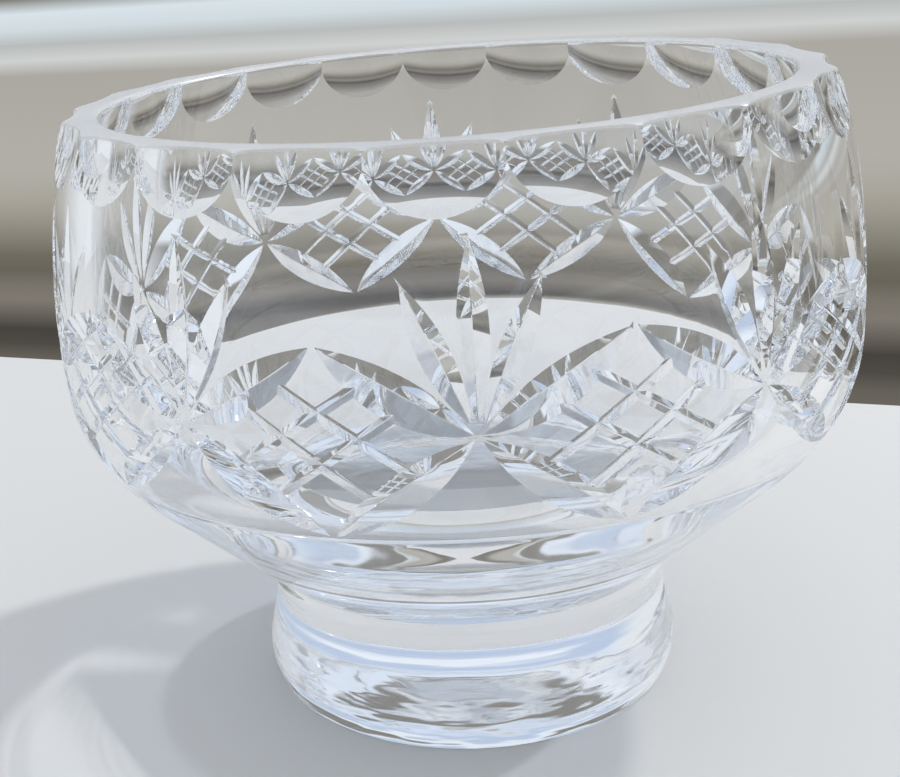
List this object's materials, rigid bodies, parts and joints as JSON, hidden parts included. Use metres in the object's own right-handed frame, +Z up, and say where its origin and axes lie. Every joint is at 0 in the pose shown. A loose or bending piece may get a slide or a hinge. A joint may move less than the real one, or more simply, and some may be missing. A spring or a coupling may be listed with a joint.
{
  "type": "rose bowl",
  "caption": "Footed rose bowl of clear cut glass: fluted rim, belt of cross-hatched diamonds with fans of leaf cuts between them, solid waisted foot.",
  "frame": {"origin": "centre of the flat that the bowl stands on", "axes": "+Z up along the bowl's axis; +X through the middle of one diamond"},
  "size_m": [0.1516, 0.1516, 0.1175],
  "materials": {
    "bowl_glass": "polished, wheel-cut",
    "foot_glass": "fire-polished, flat ground underneath"
  },
  "bodies": {
    "root": {"cut_bowl": "bowl_glass", "solid_foot": "foot_glass"}
  },
  "joints": []
}
